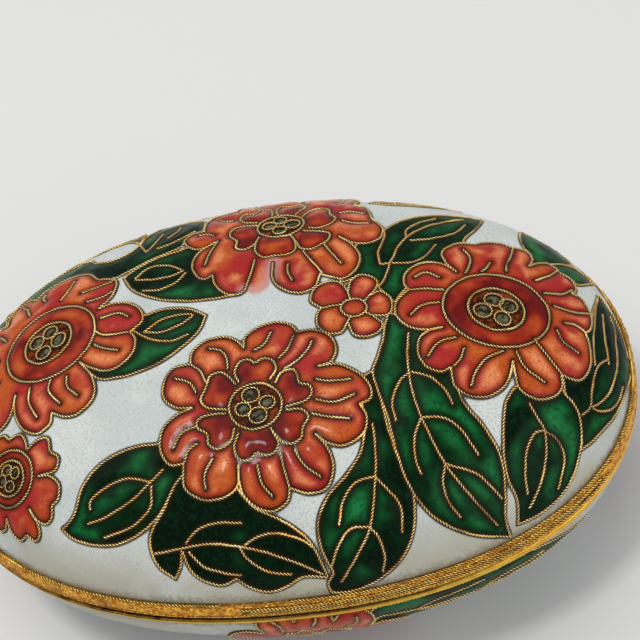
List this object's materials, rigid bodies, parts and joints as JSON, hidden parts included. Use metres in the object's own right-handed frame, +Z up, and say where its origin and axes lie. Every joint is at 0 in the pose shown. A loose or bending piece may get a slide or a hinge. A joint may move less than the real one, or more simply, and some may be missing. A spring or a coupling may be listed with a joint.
{
  "type": "cloisonne enamel box",
  "caption": "Oval cloisonne enamel box with a lift-off domed lid: red flowers and green leaves in twisted gilt wire on white, edged with gilt brass rims.",
  "frame": {"origin": "middle of the flat spot under the base, on the surface the box stands on", "axes": "+X along the long axis of the oval, +Y away from the side that the picture shows, +Z up through the lid"},
  "size_m": [0.0914, 0.0624, 0.0381],
  "materials": {
    "enamel": "glossy vitreous enamel, finely pitted, with twisted gilt wires",
    "gilt_brass": "worn gilding, darkened in its recesses"
  },
  "bodies": {
    "root": {"lid": "enamel", "base": "enamel", "lid_rim": "gilt_brass", "base_rim": "gilt_brass"}
  },
  "joints": []
}
